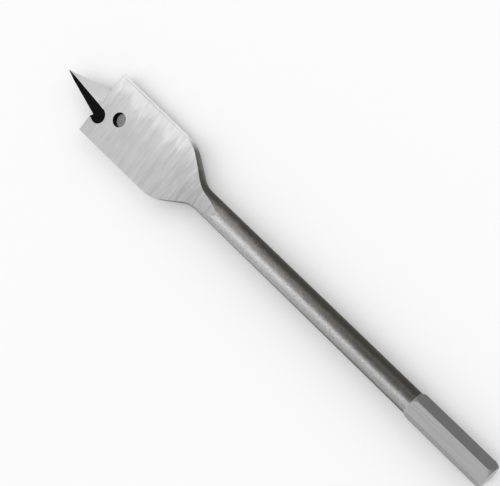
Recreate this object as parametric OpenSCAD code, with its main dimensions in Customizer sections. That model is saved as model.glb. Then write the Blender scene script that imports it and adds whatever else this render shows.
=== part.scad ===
// Spade drill bit for wood, forged and ground from one length of round steel.
// The bit lies along X with its point toward +X. The origin is the centre of the
// drive end, and the ground face that shows from above looks toward +Z.

/* [Overall] */
// Length from the drive end to the tip of the point
overall_l = 152.4; // [125:0.1:400]

/* [Shank] */
// Diameter of the round shank
shank_d = 6.3; // [5:0.05:8]

/* [Drive end] */
// Distance across the flats of the hexagonal drive end
hex_af = 6.35; // [5:0.05:8]
// Length of the hexagonal drive end, up to where it meets the round shank
hex_l = 24; // [12:0.5:35]
// Length of the rounding that breaks the hexagon's corners at the drive end
hex_end_round_l = 1.2; // [0.6:0.1:2]
// Length over which the hexagon's corners round off into the shank
hex_neck_round_l = 1.8; // [1:0.1:3]

/* [Blade] */
// Cutting width at the shoulders
blade_w = 19.05; // [12:0.05:32]
// How much narrower the blade is at the back of its sides, to run clear in the bore
back_clearance_w = 0.65; // [0:0.05:1.5]
// Length of the sides, from the shoulders to where the taper line would meet them
side_l = 29.2; // [24:0.1:40]
// Radius that rounds the corner between a side and the taper
corner_r = 11; // [2:0.5:16]
// Angle between the axis and the taper that narrows the blade to the shank
taper_angle = 33; // [24:0.5:45]
// Radius of the hollow blend between the taper and the shank
neck_r = 8; // [2:0.5:14]

/* [Ground faces] */
// Thickness of the flat part of the blade
blade_t = 2.2; // [2:0.05:3.2]
// Length of the flat part, behind the shoulders, before the faces sweep outward
face_flat_l = 18; // [10:0.5:23]
// How far past the neck the sweep of the faces runs out on the round shank
runout_past_neck = 6; // [2:0.25:12]

/* [Cutting lips] */
// Relief angle behind each cutting lip
lip_relief_angle = 15; // [5:1:25]

/* [Point] */
// Length of the point, ahead of the shoulders
point_l = 14.6; // [8:0.1:22]
// Width of the point where it leaves the shoulders
point_base_w = 7.8; // [6.5:0.1:10]
// Length of the point's base that keeps the thickness of the blade
point_land_l = 0.6; // [0.2:0.1:2]
// Thickness left at the very tip
tip_t = 0.4; // [0.2:0.05:0.8]
// Depth that each relief bevel reaches at the edge of the point's base
bevel_depth = 1.1; // [0.6:0.05:1.2]

/* [Scoops beside the point] */
// Width of a scoop at its round foot, measured on the blade's face
scoop_w = 4.4; // [3:0.1:5.2]
// Depth of a scoop at its round foot
scoop_depth = 1; // [0.5:0.05:1.1]
// Distance of the foot's centre behind the shoulders
scoop_foot_setback = 2; // [1:0.1:3.5]

/* [Hanging hole] */
// Diameter of the hole through the blade
hole_d = 4; // [2.5:0.1:6]
// Distance of the hole's centre behind the shoulders
hole_setback = 7.9; // [7.2:0.1:12]

/* [Hidden] */

$fa = 0.5;
$fs = 0.2;

// How far every cutting shape runs past what it cuts
overrun = 0.5;

// Facets in the arcs of the turned outline, and round the full circle of the sweep
arc_steps = 14;
sweep_fn = 256;

// Sideways places of a scoop's start and foot, as shares of the point's half width
scoop_start_share = -0.08;
scoop_foot_share = 0.8;

// Radius to which each end of the hexagon rounds off, as a share of what it meets there
round_end_share = 0.96;

steel = [0.74, 0.75, 0.76];

tip_x = overall_l;
shoulder_x = tip_x - point_l;
shank_r = shank_d / 2;
front_r = blade_w / 2;
back_r = (blade_w - back_clearance_w) / 2;
face_z = blade_t / 2;
point_half_w = point_base_w / 2;

// Corner where the taper line would meet the sides, and where it would meet the shank
corner_x = shoulder_x - side_l;
neck_x = corner_x - (back_r - shank_r) / tan(taper_angle);

// The sides lean in toward the back by a small angle
side_angle = atan((front_r - back_r) / side_l);
corner_turn = taper_angle + side_angle;
corner_reach = corner_r * tan(corner_turn / 2);
neck_reach = neck_r * tan(taper_angle / 2);
neck_end_x = neck_x - neck_reach;

// The sweep of each face is an arc that leaves the flat part without a crease
sweep_start_x = shoulder_x - face_flat_l;
sweep_l = sweep_start_x - neck_end_x + runout_past_neck;
sweep_rise = shank_r - face_z;
sweep_r = (sweep_l * sweep_l + sweep_rise * sweep_rise) / (2 * sweep_rise);

// Each lip's relief sets its trailing edge back by this much
lip_setback = blade_t * tan(lip_relief_angle);

// The point thins toward its tip, and its bevels fall away from that sloping ridge
ridge_angle = atan((face_z - tip_t / 2) / (point_l - point_land_l));
bevel_angle = atan(bevel_depth / point_half_w);

// Ball that leaves a foot of the asked width and depth, and how high its centre sits
scoop_half_w = scoop_w / 2;
scoop_r = (scoop_half_w * scoop_half_w + scoop_depth * scoop_depth) / (2 * scoop_depth);
scoop_lift = scoop_r - scoop_depth;

// Across corners, the hexagon reaches this radius
hex_corner_r = hex_af / 2 / cos(30);

// Points of an arc around a centre, from one angle to another
function arc(centre, r, from, to) = [
    for (i = [0 : arc_steps])
        let (angle = from + (to - from) * i / arc_steps)
        centre + r * [cos(angle), sin(angle)]
];

// Repeats a shape half a turn about the axis, since both wings are alike
module both_wings() {
    children();
    rotate([180, 0, 0])
        children();
}

// Outline of shank and blade from the axis outward, as [radius, place along the axis]
function turned_outline() =
    let (
        corner_start = corner_x + corner_reach * cos(side_angle),
        corner_start_r = back_r + corner_reach * sin(side_angle),
        corner_centre = [
            corner_start_r - corner_r * cos(side_angle),
            corner_start + corner_r * sin(side_angle)
        ],
        neck_centre = [shank_r + neck_r, neck_end_x]
    )
    concat(
        [[0, hex_l - hex_af / 2], [shank_r, hex_l - hex_af / 2]],
        arc(neck_centre, neck_r, 180, 180 - taper_angle),
        arc(corner_centre, corner_r, -taper_angle, side_angle),
        [
            [front_r, shoulder_x],
            [front_r, tip_x + overrun],
            [0, tip_x + overrun]
        ]
    );

// Round blank with the outline of the blade
module turned_blank() {
    rotate([0, 90, 0])
        rotate_extrude()
            polygon(turned_outline());
}

// What is ground away above one face: level over the blade, then sweeping up to the shank
module face_cut() {
    cut_h = front_r + overrun;
    rotate([90, 0, 0])
        linear_extrude(2 * cut_h, center = true)
            intersection() {
                union() {
                    translate([sweep_start_x, face_z])
                        square([face_flat_l + point_l + 2 * overrun, cut_h]);
                    translate([sweep_start_x, face_z + sweep_r])
                        difference() {
                            circle(sweep_r, $fn = sweep_fn);
                            translate([0, -sweep_r - overrun])
                                square(2 * (sweep_r + overrun));
                        }
                }
                translate([sweep_start_x - 2 * sweep_l, 0])
                    square([2 * sweep_l + face_flat_l + point_l + 2 * overrun, cut_h]);
            }
}

// Outline of the point, carried back along its own edges into the blade
module point_outline() {
    root_x = shoulder_x - blade_t;
    root_half_w = point_half_w * (tip_x - root_x) / point_l;
    polygon([[root_x, -root_half_w], [tip_x, 0], [root_x, root_half_w]]);
}

// What is ground away ahead of one wing: the lip leads, and the rest falls back from it
module lip_cut() {
    cut_h = 2 * blade_t;
    difference() {
        translate([shoulder_x, -overrun, face_z])
            rotate([0, lip_relief_angle, 0])
                translate([0, 0, -cut_h])
                    cube([2 * point_l, front_r + 2 * overrun, 2 * cut_h]);
        linear_extrude(2 * cut_h, center = true)
            point_outline();
    }
}

// What is ground away above one face of the point: it thins toward the tip, with a
// ridge on the axis, beyond which a bevel falls away on the trailing side
module ridge_cut() {
    cut_w = point_base_w;
    cut_l = point_l + lip_setback + overrun;
    translate([shoulder_x + point_land_l, 0, face_z])
        rotate([0, ridge_angle, 0])
            translate([-point_land_l - lip_setback, 0, 0])
                rotate([90, 0, 90])
                    linear_extrude(cut_l)
                        polygon([
                            [-cut_w, -cut_w * tan(bevel_angle)],
                            [0, 0],
                            [cut_w, 0],
                            [cut_w, blade_t],
                            [-cut_w, blade_t]
                        ]);
}

// Tapered scoop that starts at the tip and ends in a round foot behind the lip
module scoop_cut() {
    start = [tip_x, scoop_start_share * point_half_w, tip_t / 2];
    foot = [shoulder_x - scoop_foot_setback, scoop_foot_share * point_half_w, face_z + scoop_lift];
    run = foot - start;
    run_l = norm(run);
    translate(start)
        rotate([0, acos(run[2] / run_l), atan2(run[1], run[0])]) {
            cylinder(h = run_l, r1 = 0, r2 = scoop_r);
            translate([0, 0, run_l])
                sphere(scoop_r);
        }
}

// What is trimmed away round one end of the hexagon: all that lies outside a ball that
// narrows to end_r at the end and meets the hexagon's corners at the given length
module corner_trim(end_r, length) {
    reach = (length * length + hex_corner_r * hex_corner_r - end_r * end_r) / (2 * length);
    rotate([0, 90, 0])
        difference() {
            translate([0, 0, -overrun])
                cylinder(h = reach + overrun, r = hex_af);
            translate([0, 0, reach])
                sphere(norm([reach, end_r]));
        }
}

// Hexagonal drive end, with its corners rounded off at both ends
module drive_hex() {
    difference() {
        difference() {
            rotate([0, 90, 0])
                rotate([0, 0, 30])
                    cylinder(h = hex_l, r = hex_corner_r, $fn = 6);
            corner_trim(round_end_share * hex_af / 2, hex_end_round_l);
        }
        translate([hex_l, 0, 0])
            mirror([1, 0, 0])
                corner_trim(round_end_share * shank_r, hex_neck_round_l);
    }
}

// Blank with its faces, sides and lips ground
module ground_blade() {
    difference() {
        turned_blank();
        both_wings() face_cut();
        both_wings() lip_cut();
    }
}

// Blade with the ridge, bevels and scoops of its point ground too
module ground_point() {
    difference() {
        difference() {
            ground_blade();
            both_wings() ridge_cut();
        }
        both_wings() scoop_cut();
    }
}

module spade_bit() {
    color(steel) {
        difference() {
            ground_point();
            translate([shoulder_x - hole_setback, 0, 0])
                cylinder(h = 2 * blade_t, r = hole_d / 2, center = true);
        }
        drive_hex();
    }
}

spade_bit();
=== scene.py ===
"""Looks of a spade drill bit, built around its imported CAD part."""

import math

import bmesh
import bpy
from mathutils import Matrix, Vector


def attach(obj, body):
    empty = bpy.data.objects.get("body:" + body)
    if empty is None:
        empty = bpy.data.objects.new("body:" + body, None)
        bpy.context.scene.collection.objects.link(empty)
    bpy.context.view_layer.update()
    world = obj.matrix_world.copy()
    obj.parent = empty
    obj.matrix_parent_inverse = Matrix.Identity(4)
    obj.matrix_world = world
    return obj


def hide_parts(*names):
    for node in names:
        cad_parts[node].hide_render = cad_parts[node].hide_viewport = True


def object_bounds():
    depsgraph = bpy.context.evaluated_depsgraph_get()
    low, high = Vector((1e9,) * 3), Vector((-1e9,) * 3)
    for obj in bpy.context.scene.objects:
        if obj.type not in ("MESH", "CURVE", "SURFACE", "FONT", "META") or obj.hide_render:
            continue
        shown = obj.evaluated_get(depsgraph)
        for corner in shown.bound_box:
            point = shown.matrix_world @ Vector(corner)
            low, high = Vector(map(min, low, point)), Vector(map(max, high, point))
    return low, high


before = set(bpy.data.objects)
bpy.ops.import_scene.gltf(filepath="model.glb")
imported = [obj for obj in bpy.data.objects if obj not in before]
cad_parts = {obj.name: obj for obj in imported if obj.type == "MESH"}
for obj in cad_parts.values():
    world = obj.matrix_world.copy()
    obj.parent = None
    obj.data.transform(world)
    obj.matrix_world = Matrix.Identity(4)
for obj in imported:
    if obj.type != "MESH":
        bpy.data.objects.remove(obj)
cad_low, cad_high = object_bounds()

# Sizes in metres. Places along the bit are measured from the drive end
MM = 0.001
OVERALL_L = cad_high.x
FLOOR_Z = cad_low.z

SHANK_R = 3.15 * MM
HEX_AF = cad_high.z - cad_low.z
HEX_L = 24 * MM
HEX_END_ROUND_L = 1.2 * MM
HEX_NECK_ROUND_L = 1.8 * MM
ROUND_END_SHARE = 0.96

FRONT_R = 9.525 * MM
BACK_R = 9.2 * MM
SIDE_L = 29.2 * MM
SIDE_LEAN = (FRONT_R - BACK_R) / SIDE_L
CORNER_R = 11 * MM
TAPER_ANGLE = math.radians(33)
NECK_R = 8 * MM

FACE_Z = 1.1 * MM
FACE_FLAT_L = 18 * MM
RUNOUT_PAST_NECK = 6 * MM

LIP_RELIEF_ANGLE = math.radians(15)
POINT_L = 14.6 * MM
POINT_HALF_W = 3.9 * MM
POINT_LAND_L = 0.6 * MM
TIP_T = 0.4 * MM
BEVEL_DEPTH = 1.1 * MM

SCOOP_HALF_W = 2.2 * MM
SCOOP_DEPTH = 1 * MM
SCOOP_FOOT_SETBACK = 2 * MM
SCOOP_START_SHARE = -0.08
SCOOP_FOOT_SHARE = 0.8

HOLE_R = 2 * MM
HOLE_SETBACK = 7.9 * MM

OVERRUN = 0.5 * MM

SHOULDER_X = OVERALL_L - POINT_L
SWEEP_START_X = SHOULDER_X - FACE_FLAT_L
CORNER_X = SHOULDER_X - SIDE_L
NECK_X = CORNER_X - (BACK_R - SHANK_R) / math.tan(TAPER_ANGLE)
NECK_END_X = NECK_X - NECK_R * math.tan(TAPER_ANGLE / 2)
SWEEP_L = SWEEP_START_X - NECK_END_X + RUNOUT_PAST_NECK
SWEEP_RISE = SHANK_R - FACE_Z
SWEEP_R = (SWEEP_L ** 2 + SWEEP_RISE ** 2) / (2 * SWEEP_RISE)

# How finely the mesh is drawn: rings along an even stretch and along the sweep, points
# across a face and round a side, steps in the arcs, and the sides of turned tools
EVEN_STEPS = 24
SWEEP_STEPS = 60
FACE_POINTS = 12
SIDE_POINTS = 30
ARC_STEPS = 28
TRIM_STEPS = 24
SCOOP_STEPS = 40
TURNED_SIDES = 96
SCOOP_SIDES = 128
SHARP_ANGLE = math.radians(25)

# Points closer than the first are welded, and rings closer than the second are one
WELD = 0.0001 * MM
RING_GAP = 0.01 * MM

# Placings of a tool: as it is made, and with its outline's X and Y turned into the bit's
# Y and Z, so that it is drawn out along the bit
AS_MADE = Matrix.Identity(4)
ALONG = Matrix(((0, 0, 1, 0), (1, 0, 0, 0), (0, 1, 0, 0), (0, 0, 0, 1)))

# Camera, fitted to the outline of the bit in the photograph
CAMERA_PLACE = Vector((-25.25, -63.60, 270.31)) * MM
CAMERA_TURN = [math.radians(a) for a in (4.832, 23.992, -137.313)]
CAMERA_LENS = 86.52
SENSOR_W = 36

# Soft boxes this far from a place on the bit, under a plain white world, over the floor
MIDDLE = Vector((OVERALL_L * 0.6, 0, 0))
LIGHT_REACH = 3
WORLD_LIGHT = 0.86
FLOOR_GREY = 0.96
FLOOR_HALF_W = 4
FLOOR_GAP = 0.02 * MM

# Directions, straight out from the axis, that the flank darkened with painted shade and the
# line of painted highlight along its top face. The opposite sides are alike
SHADED_FLANK = (0, -math.sin(math.radians(70)), math.cos(math.radians(70)))
HIGHLIGHT_LINE = (0, math.sin(math.radians(4)), math.cos(math.radians(4)))

# Greys of a ground face from its trailing edge to its leading edge, how far they wander
# across it, and where its marks begin to turn coarse
FACE_TONES = [(0.1, 0.5), (0.5, 0.525), (0.75, 0.595), (0.88, 0.73)]
FACE_DRIFT = 9 * MM
COARSE_X = CORNER_X + 6 * MM

# Darker line along a leading side: how far in it begins and is full, how dark it is, and
# over what length it fades in from the shoulder and from the back
DARK_LINE_START = 0.45 * MM
DARK_LINE_FULL = 0.25 * MM
DARK_LINE_GREY = 0.7
DARK_LINE_FRONT_L = 10 * MM
DARK_LINE_BACK_L = 20 * MM

# Tones of the shank's painted shade, from its top to the middle of a shaded flank, in one set
# near the blade and one near the drive end. The painted highlight's own tones multiply them
BLADE_END_SHADE_TONES = [
    (0.05, 0.5),
    (0.32, 0.51),
    (0.42, (0.4, 0.392, 0.383)),
    (0.55, (0.31, 0.3, 0.287)),
    (0.64, (0.24, 0.234, 0.222)),
    (0.72, (0.16, 0.155, 0.143)),
    (0.78, (0.1, 0.096, 0.086)),
    (0.85, (0.062, 0.059, 0.051)),
]
DRIVE_END_SHADE_TONES = [
    (0.1, 0.43),
    (0.33, (0.41, 0.408, 0.405)),
    (0.44, (0.29, 0.286, 0.28)),
    (0.55, (0.18, 0.177, 0.17)),
    (0.64, (0.11, 0.107, 0.1)),
    (0.72, (0.095, 0.092, 0.085)),
    (0.84, (0.089, 0.086, 0.078)),
    (0.91, (0.059, 0.056, 0.048)),
]
HIGHLIGHT_TONES = [(0.85, 0.84), (0.95, 0.87), (0.989, 1.0), (0.999, 1.19)]

# The painted shade turns to its set for the drive end, from the first place along the bit to the
# second
DRIVE_SHADE_START_X = 72 * MM
DRIVE_SHADE_FULL_X = 40 * MM

# How uneven the edge of the painted shade is, how far the set near the blade is held back all
# over, and from where to where along the bit it spreads or fades, and by how much
SHADE_UNEVEN = 0.2
SHADE_HELD_BACK = 0.22
SHADE_SPREADS = [(100 * MM, 72 * MM, 0.13), (91 * MM, 94.5 * MM, 0.07), (97 * MM, 104 * MM, -0.09)]

# Where the painted shade on the taper's sides gives way to the ground sides of the blade
SHADE_END_X = CORNER_X - 1.5 * MM
GROUND_SIDE_X = CORNER_X + 3.2 * MM


def material(name):
    """A new material with nodes: its node tree and its Principled BSDF."""
    made = bpy.data.materials.new(name)
    made.use_nodes = True
    return made, made.node_tree, made.node_tree.nodes["Principled BSDF"]


def stretched_noise(tree, stretch, scale, detail=6, roughness=0.6):
    """Noise in the bit's own coordinates, in millimetres, drawn out along an axis."""
    place = tree.nodes.new("ShaderNodeTexCoord")
    mapping = tree.nodes.new("ShaderNodeMapping")
    mapping.inputs["Scale"].default_value = [s / MM for s in stretch]
    noise = tree.nodes.new("ShaderNodeTexNoise")
    noise.inputs["Scale"].default_value = scale
    noise.inputs["Detail"].default_value = detail
    noise.inputs["Roughness"].default_value = roughness
    tree.links.new(place.outputs["Object"], mapping.inputs["Vector"])
    tree.links.new(mapping.outputs["Vector"], noise.inputs["Vector"])
    return noise.outputs["Fac"]


def ramp(tree, value, stops):
    """Maps a value to colours, from a list of (place, grey or colour)."""
    node = tree.nodes.new("ShaderNodeValToRGB")
    bands = node.color_ramp.elements
    while len(bands) < len(stops):
        bands.new(0.5)
    for band, (place, grey) in zip(bands, stops):
        band.position = place
        band.color = (*grey, 1) if isinstance(grey, tuple) else (grey, grey, grey, 1)
    tree.links.new(value, node.inputs["Fac"])
    return node.outputs["Color"]


def bump(tree, value, shader, strength, distance):
    """Raises the surface with a value, by a distance in metres."""
    node = tree.nodes.new("ShaderNodeBump")
    node.inputs["Strength"].default_value = strength
    node.inputs["Distance"].default_value = distance
    tree.links.new(value, node.inputs["Height"])
    tree.links.new(node.outputs["Normal"], shader.inputs["Normal"])


def place_on_bit(tree):
    """Sockets "X", "Y" and "Z" of the bit's own coordinates, in metres."""
    place = tree.nodes.new("ShaderNodeTexCoord")
    split = tree.nodes.new("ShaderNodeSeparateXYZ")
    tree.links.new(place.outputs["Object"], split.inputs["Vector"])
    return split.outputs


def share_between(tree, value, start, end):
    """0 where the value is at or before start, 1 at or beyond end, and even between them."""
    node = tree.nodes.new("ShaderNodeMapRange")
    node.inputs["From Min"].default_value = start
    node.inputs["From Max"].default_value = end
    tree.links.new(value, node.inputs["Value"])
    return node.outputs["Result"]


def calculated(tree, operation, first, second=None):
    """A sum, product or other result of one socket and a second socket or number."""
    node = tree.nodes.new("ShaderNodeMath")
    node.operation = operation
    tree.links.new(first, node.inputs[0])
    if isinstance(second, (int, float)):
        node.inputs[1].default_value = second
    elif second is not None:
        tree.links.new(second, node.inputs[1])
    return node.outputs[0]


def mixed(tree, first, second, blend="MULTIPLY", share=1):
    """Two colours multiplied, or mixed by a share that may be a socket."""
    node = tree.nodes.new("ShaderNodeMix")
    node.data_type = "RGBA"
    node.blend_type = blend
    if isinstance(share, (int, float)):
        node.inputs["Factor"].default_value = share
    else:
        tree.links.new(share, node.inputs["Factor"])
    tree.links.new(first, node.inputs["A"])
    tree.links.new(second, node.inputs["B"])
    return node.outputs["Result"]


def facing(tree, direction):
    """How far the surface faces straight along a direction across the axis, either way."""
    place = tree.nodes.new("ShaderNodeTexCoord")
    across = tree.nodes.new("ShaderNodeVectorMath")
    across.operation = "MULTIPLY"
    across.inputs[1].default_value = (0, 1, 1)
    level = tree.nodes.new("ShaderNodeVectorMath")
    level.operation = "NORMALIZE"
    dot = tree.nodes.new("ShaderNodeVectorMath")
    dot.operation = "DOT_PRODUCT"
    dot.inputs[1].default_value = direction
    tree.links.new(place.outputs["Normal"], across.inputs[0])
    tree.links.new(across.outputs["Vector"], level.inputs[0])
    tree.links.new(level.outputs["Vector"], dot.inputs[0])
    return calculated(tree, "ABSOLUTE", dot.outputs["Value"])


def dark_edge_line(tree, x, side):
    """Share of a darker line along the leading side of a face, fading out toward both its ends."""
    leaning = calculated(tree, "ADD", side, calculated(tree, "MULTIPLY", x, SIDE_LEAN))
    edge = SIDE_LEAN * SHOULDER_X - FRONT_R
    line_share = share_between(tree, leaning, edge + DARK_LINE_START, edge + DARK_LINE_FULL)
    for start, end in ((SHOULDER_X, SHOULDER_X - DARK_LINE_FRONT_L), (CORNER_X, CORNER_X + DARK_LINE_BACK_L)):
        line_share = calculated(tree, "MULTIPLY", line_share, share_between(tree, x, start, end))
    return line_share


def ground_steel():
    """Bright face, ground across the blade. It is brightest toward its leading edge, and its
    marks turn coarse on the taper."""
    made, tree, shader = material("ground_steel")
    place = place_on_bit(tree)
    streaks = stretched_noise(tree, (1.0, 0.11, 0.3), 1.3, 5)
    clouds = stretched_noise(tree, (0.5, 0.12, 0.3), 0.8, 2)
    # Place across the blade, which is negative on the leading side of both faces
    side = calculated(tree, "MULTIPLY", place["Y"], calculated(tree, "SIGN", place["Z"]))
    drift = calculated(tree, "MULTIPLY", calculated(tree, "SUBTRACT", clouds, 0.5), FACE_DRIFT)
    across = share_between(tree, calculated(tree, "ADD", side, drift), FRONT_R, -FRONT_R)
    # A darker line along the leading side of each face
    line_tone = ramp(tree, dark_edge_line(tree, place["X"], side), [(0, 1.0), (1, DARK_LINE_GREY)])
    tone = mixed(tree, ramp(tree, across, FACE_TONES), line_tone)
    taper = share_between(tree, place["X"], COARSE_X, NECK_X)
    fine = ramp(tree, streaks, [(0.3, 0.91), (0.5, 1.0), (0.7, 1.08)])
    coarse = ramp(tree, streaks, [(0.34, 0.64), (0.5, 0.79), (0.66, 0.92)])
    grain = mixed(tree, fine, coarse, "MIX", taper)
    tree.links.new(mixed(tree, tone, grain), shader.inputs["Base Color"])
    shader.inputs["Metallic"].default_value = 1
    rough = ramp(tree, streaks, [(0.3, 0.46), (0.7, 0.4)])
    tree.links.new(rough, shader.inputs["Roughness"])
    bump(tree, stretched_noise(tree, (1.0, 0.03, 0.3), 6), shader, 0.2, 0.02 * MM)
    return made


def shank_steel():
    """Forged steel of the shank and the sides: a painted highlight along the top, painted shade on
    two flanks, and ground bright again on the sides that run in the bore."""
    made, tree, shader = material("shank_steel")
    x = place_on_bit(tree)["X"]
    mottle = stretched_noise(tree, (0.5, 1.0, 1.0), 0.9, 4)
    grain = stretched_noise(tree, (0.7, 1.0, 1.0), 3, 3)
    uneven = calculated(tree, "MULTIPLY", calculated(tree, "SUBTRACT", mottle, 0.5), SHADE_UNEVEN)
    shift = calculated(tree, "SUBTRACT", uneven, SHADE_HELD_BACK)
    for start, end, amount in SHADE_SPREADS:
        spread = calculated(tree, "MULTIPLY", share_between(tree, x, start, end), amount)
        shift = calculated(tree, "ADD", shift, spread)
    # Painted shade: darker the more the surface faces the shaded flanks, with an uneven edge
    flank = facing(tree, SHADED_FLANK)
    blade_end_shade = ramp(tree, calculated(tree, "ADD", flank, shift), BLADE_END_SHADE_TONES)
    drive_end_shade = ramp(tree, calculated(tree, "ADD", flank, uneven), DRIVE_END_SHADE_TONES)
    toward_drive_end = share_between(tree, x, DRIVE_SHADE_START_X, DRIVE_SHADE_FULL_X)
    bands = mixed(tree, blade_end_shade, drive_end_shade, "MIX", toward_drive_end)
    # Painted highlight along the top
    painted_highlight = ramp(tree, facing(tree, HIGHLIGHT_LINE), HIGHLIGHT_TONES)
    rough_skin = ramp(tree, grain, [(0.34, 0.8), (0.5, 1.0), (0.66, 1.17)])
    # Painted shade and painted highlight, times the grain of the skin
    scale = mixed(tree, mixed(tree, bands, painted_highlight), rough_skin)
    bright = ramp(tree, stretched_noise(tree, (0.1, 1.0, 1.0), 3), [(0.3, 0.84), (0.7, 0.93)])
    ground = share_between(tree, x, SHADE_END_X, GROUND_SIDE_X)
    tree.links.new(mixed(tree, scale, bright, "MIX", ground), shader.inputs["Base Color"])
    shader.inputs["Metallic"].default_value = 1
    rough = ramp(tree, mottle, [(0.3, 0.5), (0.7, 0.42)])
    tree.links.new(rough, shader.inputs["Roughness"])
    bump(tree, grain, shader, 0.3, 0.06 * MM)
    return made


def hex_steel():
    """Plain drawn steel of the drive end, with fine lines along it and painted shade on two flanks.
    """
    made, tree, shader = material("hex_steel")
    lines = stretched_noise(tree, (0.03, 1.0, 1.0), 3)
    # Painted shade on the two flanks
    bands = ramp(tree, facing(tree, SHADED_FLANK), [(0.3, 0.46), (0.7, 0.3), (0.95, 0.16)])
    grain = ramp(tree, lines, [(0.3, 0.88), (0.7, 1.06)])
    tree.links.new(mixed(tree, bands, grain), shader.inputs["Base Color"])
    shader.inputs["Metallic"].default_value = 1
    tree.links.new(ramp(tree, lines, [(0.3, 0.42), (0.7, 0.34)]), shader.inputs["Roughness"])
    return made


def shaded_recess_steel():
    """Near-black painted shade in the scoops and the hole."""
    made, tree, shader = material("shaded_recess_steel")
    blotches = stretched_noise(tree, (1.0, 1.0, 1.0), 1.5)
    colour = ramp(tree, blotches, [(0.3, 0.002), (0.5, 0.005), (0.7, 0.01)])
    tree.links.new(colour, shader.inputs["Base Color"])
    shader.inputs["Specular IOR Level"].default_value = 0.04
    shader.inputs["Roughness"].default_value = 0.7
    bump(tree, stretched_noise(tree, (1.0, 1.0, 1.0), 3), shader, 0.5, 0.1 * MM)
    return made


def point_steel():
    """Relief facets of the point and the lips."""
    made, tree, shader = material("point_steel")
    streaks = stretched_noise(tree, (1.0, 0.1, 0.3), 2.5)
    colour = ramp(tree, streaks, [(0.3, 0.62), (0.7, 0.7)])
    tree.links.new(colour, shader.inputs["Base Color"])
    shader.inputs["Metallic"].default_value = 1
    shader.inputs["Roughness"].default_value = 0.42
    return made


STEELS = [shank_steel(), ground_steel(), point_steel(), shaded_recess_steel(), hex_steel()]
SHANK, GROUND, POINT, RECESS, HEX = range(len(STEELS))


def solid(name, points, faces, steel):
    """A closed mesh object, whose faces all have one steel or each their own."""
    mesh = bpy.data.meshes.new(name)
    mesh.from_pydata([tuple(p) for p in points], [], faces)
    for each in STEELS:
        mesh.materials.append(each)
    steels = [steel] * len(faces) if isinstance(steel, int) else steel
    mesh.polygons.foreach_set("material_index", steels)
    tidy = bmesh.new()
    tidy.from_mesh(mesh)
    bmesh.ops.remove_doubles(tidy, verts=tidy.verts, dist=WELD)
    bmesh.ops.recalc_face_normals(tidy, faces=tidy.faces)
    tidy.to_mesh(mesh)
    tidy.free()
    made = bpy.data.objects.new(name, mesh)
    bpy.context.scene.collection.objects.link(made)
    return made


def ring_faces(rings, count, closed=False):
    """Faces between neighbouring rings of points. Closed joins the last ring to the first."""
    faces = []
    for i in range(rings if closed else rings - 1):
        a = i * count
        b = (i + 1) % rings * count
        faces += [(a + k, a + (k + 1) % count, b + (k + 1) % count, b + k) for k in range(count)]
    return faces


def cap_faces(rings, count):
    """The first and the last ring of points, each as one face."""
    return [tuple(range(count)), tuple(range((rings - 1) * count, rings * count))]


def prism(name, outline, low, high, steel, place=AS_MADE):
    """An outline in the XY plane, extruded from low to high along Z, then placed."""
    n = len(outline)
    points = [place @ Vector((x, y, z)) for z in (low, high) for x, y in outline]
    return solid(name, points, cap_faces(2, n) + ring_faces(2, n), steel)


def turned_points(profile, place, sides):
    """A profile of (radius, height) as rings of points about Z, then placed."""
    angles = [math.tau * k / sides for k in range(sides)]
    return [place @ Vector((r * math.cos(a), r * math.sin(a), z)) for r, z in profile for a in angles]


def turned_solid(name, profile, steel, place=AS_MADE, sides=TURNED_SIDES):
    """A profile turned about Z, from one end on the axis to the other."""
    faces = ring_faces(len(profile), sides)
    caps = zip(cap_faces(len(profile), sides), (profile[0], profile[-1]))
    faces += [cap for cap, (r, z) in caps if r > 0]
    return solid(name, turned_points(profile, place, sides), faces, steel)


def turned_ring(name, profile, steel, place=AS_MADE, sides=TURNED_SIDES):
    """A closed profile turned about Z, with an open middle."""
    faces = ring_faces(len(profile), sides, closed=True)
    return solid(name, turned_points(profile, place, sides), faces, steel)


def combine(target, tools, operation="DIFFERENCE"):
    """Cuts each tool from the target in turn, or joins it on, and deletes the tool."""
    for tool in tools:
        step = target.modifiers.new(operation, "BOOLEAN")
        step.operation = operation
        step.solver = "EXACT"
        step.material_mode = "TRANSFER"
        step.object = tool
        graph = bpy.context.evaluated_depsgraph_get()
        result = bpy.data.meshes.new_from_object(target.evaluated_get(graph))
        target.modifiers.clear()
        target.data = result
        bpy.data.objects.remove(tool)


def both_wings(make):
    """One tool for each wing: the second is the first turned half a turn about the axis."""
    return [make(AS_MADE), make(Matrix.Rotation(math.pi, 4, "X"))]


def arc(centre, r, start, end, steps=ARC_STEPS):
    """Points along an arc, as (x, y), with angles in radians."""
    angles = [start + (end - start) * i / steps for i in range(steps + 1)]
    return [(centre[0] + r * math.cos(a), centre[1] + r * math.sin(a)) for a in angles]


def turned_outline():
    """Outline of shank and blade, as (place, radius)."""
    side_angle = math.atan(SIDE_LEAN)
    reach = CORNER_R * math.tan((TAPER_ANGLE + side_angle) / 2)
    start_x = CORNER_X + reach * math.cos(side_angle)
    start_r = BACK_R + reach * math.sin(side_angle)
    corner = (start_x + CORNER_R * math.sin(side_angle), start_r - CORNER_R * math.cos(side_angle))
    up = math.pi / 2
    return (
        [(HEX_L - HEX_AF / 2, SHANK_R)]
        + arc((NECK_END_X, SHANK_R + NECK_R), NECK_R, -up, TAPER_ANGLE - up)
        + arc(corner, CORNER_R, up + TAPER_ANGLE, up + side_angle)
        + [(SHOULDER_X, FRONT_R), (OVERALL_L + OVERRUN, FRONT_R)]
    )


def radius_at(outline, x):
    """Radius of the outline at a place along the bit."""
    for (x0, r0), (x1, r1) in zip(outline, outline[1:]):
        if x0 <= x <= x1 and x1 > x0:
            return r0 + (r1 - r0) * (x - x0) / (x1 - x0)
    return outline[-1][1]


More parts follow.
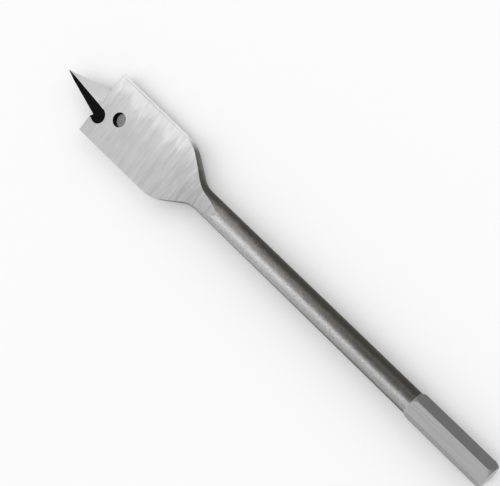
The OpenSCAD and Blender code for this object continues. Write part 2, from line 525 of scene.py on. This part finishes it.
def face_height_at(x):
    """Height of the ground face: level on the blade, then swept up to the shank."""
    back = SWEEP_START_X - x
    if back <= 0:
        return FACE_Z
    return FACE_Z + SWEEP_R - math.sqrt(max(SWEEP_R ** 2 - back ** 2, 0))


def blank_ring(outline, x):
    """Section of the blank at a place along it: flat faces above and below, round sides."""
    r = radius_at(outline, x)
    edge = math.acos(min(face_height_at(x) / r, 1))
    half_w = r * math.sin(edge)
    ring = [
        (half_w - 2 * half_w * i / FACE_POINTS, r * math.cos(edge))
        for i in range(FACE_POINTS)
    ]
    for i in range(SIDE_POINTS):
        a = edge + (math.pi - 2 * edge) * i / SIDE_POINTS
        ring.append((-r * math.sin(a), r * math.cos(a)))
    ring += [(-y, -z) for y, z in ring]
    return [Vector((x, y, z)) for y, z in ring]


def blank():
    """Shank and blade in one, as rings of four stretches: face, side, face, side."""
    outline = turned_outline()
    runout_x = SWEEP_START_X - SWEEP_L
    even = [i / EVEN_STEPS for i in range(EVEN_STEPS + 1)]
    places = {x for x, r in outline}
    places |= {HEX_L - HEX_AF / 2 + (runout_x - HEX_L) * share for share in even}
    places |= {runout_x + SWEEP_L * (i / SWEEP_STEPS) ** 2 for i in range(SWEEP_STEPS + 1)}
    places |= {SWEEP_START_X + (FACE_FLAT_L + POINT_L) * share for share in even}
    places = [x for x in sorted(places) if x <= outline[-1][0]]
    places = [a for a, b in zip(places, places[1:]) if b - a > RING_GAP] + [places[-1]]
    points = [point for x in places for point in blank_ring(outline, x)]
    half_ring = FACE_POINTS + SIDE_POINTS
    # The faces are ground from their run-out onward, whose ring may lie just short of it
    steels = [
        GROUND if k % half_ring < FACE_POINTS and x >= runout_x - MM else SHANK
        for x in places[:-1]
        for k in range(2 * half_ring)
    ]
    faces = ring_faces(len(places), 2 * half_ring) + cap_faces(len(places), 2 * half_ring)
    return solid("spade_bit_steel", points, faces, steels + [SHANK, SHANK])


def lip_tool(turn):
    """What is ground away ahead of one wing, beside the point."""
    tall = 4 * FACE_Z
    tilt = Matrix.Translation((SHOULDER_X, 0, FACE_Z)) @ Matrix.Rotation(LIP_RELIEF_ANGLE, 4, "Y")
    reach = 2 * POINT_L
    wide = FRONT_R + OVERRUN
    box = [(0, -OVERRUN), (reach, -OVERRUN), (reach, wide), (0, wide)]
    tool = prism("lip_tool", box, -tall, tall, POINT, turn @ tilt)
    root_x = SHOULDER_X - 2 * FACE_Z
    root_w = POINT_HALF_W * (OVERALL_L - root_x) / POINT_L
    point = [(root_x, -root_w), (OVERALL_L, 0), (root_x, root_w)]
    combine(tool, [prism("point", point, -2 * tall, 2 * tall, POINT, turn)])
    return tool


def ridge_tool(turn):
    """What thins the point toward its tip, with a bevel on the trailing side."""
    ridge_angle = math.atan((FACE_Z - TIP_T / 2) / (POINT_L - POINT_LAND_L))
    back = POINT_LAND_L + 2 * FACE_Z * math.tan(LIP_RELIEF_ANGLE)
    wide = 2 * POINT_HALF_W
    drop = wide * BEVEL_DEPTH / POINT_HALF_W
    place = (
        Matrix.Translation((SHOULDER_X + POINT_LAND_L, 0, FACE_Z))
        @ Matrix.Rotation(ridge_angle, 4, "Y")
        @ Matrix.Translation((-back, 0, 0))
        @ ALONG
    )
    tall = 2 * FACE_Z
    outline = [(-wide, -drop), (0, 0), (wide, 0), (wide, tall), (-wide, tall)]
    return prism("ridge_tool", outline, 0, POINT_L + back, POINT, turn @ place)


def scoop_tool(turn):
    """Cone that widens from the tip to a ball at the scoop's foot."""
    r = (SCOOP_HALF_W ** 2 + SCOOP_DEPTH ** 2) / (2 * SCOOP_DEPTH)
    start = Vector((OVERALL_L, SCOOP_START_SHARE * POINT_HALF_W, TIP_T / 2))
    foot = Vector((
        SHOULDER_X - SCOOP_FOOT_SETBACK,
        SCOOP_FOOT_SHARE * POINT_HALF_W,
        FACE_Z + r - SCOOP_DEPTH,
    ))
    run = (foot - start).length
    # The cone's side enters the ball this far short of the ball's centre
    overlap = 2 * r * r * run / (run * run + r * r)
    ball = arc((0, run), r, math.asin(-overlap / r), math.pi / 2, SCOOP_STEPS)
    turn_to_foot = (foot - start).to_track_quat("Z", "Y").to_matrix().to_4x4()
    place = turn @ Matrix.Translation(start) @ turn_to_foot
    return turned_solid("scoop_tool", [(0, 0)] + ball, RECESS, place, SCOOP_SIDES)


def hole_tool():
    """What the hole takes out of the blade."""
    tall = 2 * FACE_Z
    profile = [(0, -tall), (HOLE_R, -tall), (HOLE_R, tall), (0, tall)]
    place = Matrix.Translation((SHOULDER_X - HOLE_SETBACK, 0, 0))
    return turned_solid("hole_tool", profile, RECESS, place)


def corner_trim(corner_r, end_r, length, place):
    """What lies outside a ball that narrows to end_r at one end of the hexagon and meets
    its corners at the given length."""
    reach = (length ** 2 + corner_r ** 2 - end_r ** 2) / (2 * length)
    ball_r = math.hypot(reach, end_r)
    ball = arc((0, reach), ball_r, -math.atan2(reach, end_r), 0, TRIM_STEPS)
    rim = [(2 * HEX_AF, reach), (2 * HEX_AF, -OVERRUN), (end_r, -OVERRUN)]
    return turned_ring("corner_trim", ball + rim, HEX, place)


def hexagon():
    """Drive end, with its corners rounded off at both ends."""
    corner_r = HEX_AF / 2 / math.cos(math.pi / 6)
    angles = [k * math.pi / 3 for k in range(6)]
    corners = [(corner_r * math.cos(a), corner_r * math.sin(a)) for a in angles]
    made = prism("hexagon", corners, 0, HEX_L, HEX, ALONG)
    neck = Matrix.Translation((HEX_L, 0, 0)) @ Matrix.Rotation(math.pi, 4, "Z") @ ALONG
    combine(made, [corner_trim(corner_r, ROUND_END_SHARE * HEX_AF / 2, HEX_END_ROUND_L, ALONG)])
    combine(made, [corner_trim(corner_r, ROUND_END_SHARE * SHANK_R, HEX_NECK_ROUND_L, neck)])
    return made


def bit():
    """The whole bit: blank, ground lips, point, scoops and hole, and the hexagon."""
    made = blank()
    combine(made, both_wings(lip_tool))
    combine(made, both_wings(ridge_tool))
    combine(made, both_wings(scoop_tool))
    combine(made, [hole_tool()])
    combine(made, [hexagon()], "UNION")
    return made


def floor():
    """Pale floor under the bit."""
    z = FLOOR_Z - FLOOR_GAP
    signs = ((-1, -1), (1, -1), (1, 1), (-1, 1))
    corners = [(x * FLOOR_HALF_W, y * FLOOR_HALF_W, z) for x, y in signs]
    mesh = bpy.data.meshes.new("floor")
    mesh.from_pydata(corners, [], [(0, 1, 2, 3)])
    made = bpy.data.objects.new("floor", mesh)
    bpy.context.scene.collection.objects.link(made)
    paint, tree, shader = material("floor_white")
    shader.inputs["Base Color"].default_value = (FLOOR_GREY, FLOOR_GREY, FLOOR_GREY, 1)
    shader.inputs["Roughness"].default_value = 0.9
    shader.inputs["Specular IOR Level"].default_value = 0
    mesh.materials.append(paint)


def area_light(name, toward, width, length, power):
    """A soft box that stands LIGHT_REACH away in a direction and faces the bit."""
    light = bpy.data.lights.new(name, "AREA")
    light.shape = "RECTANGLE"
    light.size = width
    light.size_y = length
    light.energy = power
    made = bpy.data.objects.new(name, light)
    toward = Vector(toward).normalized()
    made.location = MIDDLE + LIGHT_REACH * toward
    made.rotation_mode = "QUATERNION"
    made.rotation_quaternion = (-toward).to_track_quat("-Z", "Y")
    bpy.context.scene.collection.objects.link(made)


def white_world():
    """Plain white light from all round."""
    world = bpy.data.worlds.new("studio")
    world.use_nodes = True
    background = world.node_tree.nodes["Background"]
    background.inputs["Color"].default_value = (1, 1, 1, 1)
    background.inputs["Strength"].default_value = WORLD_LIGHT
    bpy.context.scene.world = world


def add_camera():
    """The photograph's camera."""
    camera = bpy.data.objects.new("camera", bpy.data.cameras.new("camera"))
    camera.data.sensor_width = SENSOR_W
    camera.data.lens = CAMERA_LENS
    camera.data.clip_start = 0.01
    camera.location = CAMERA_PLACE
    camera.rotation_euler = CAMERA_TURN
    bpy.context.scene.collection.objects.link(camera)
    bpy.context.scene.camera = camera


piece = bit()
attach(piece, "root")
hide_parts("spade_bit")
piece.data.shade_smooth()
piece.data.set_sharp_from_angle(angle=SHARP_ANGLE)

floor()
area_light("key", toward=(0.55, 0.5, 0.65), width=3, length=2, power=10)
area_light("side", toward=(-0.2, -0.85, 0.5), width=3, length=2, power=20)
white_world()
add_camera()
bpy.context.scene.view_settings.view_transform = "Standard"
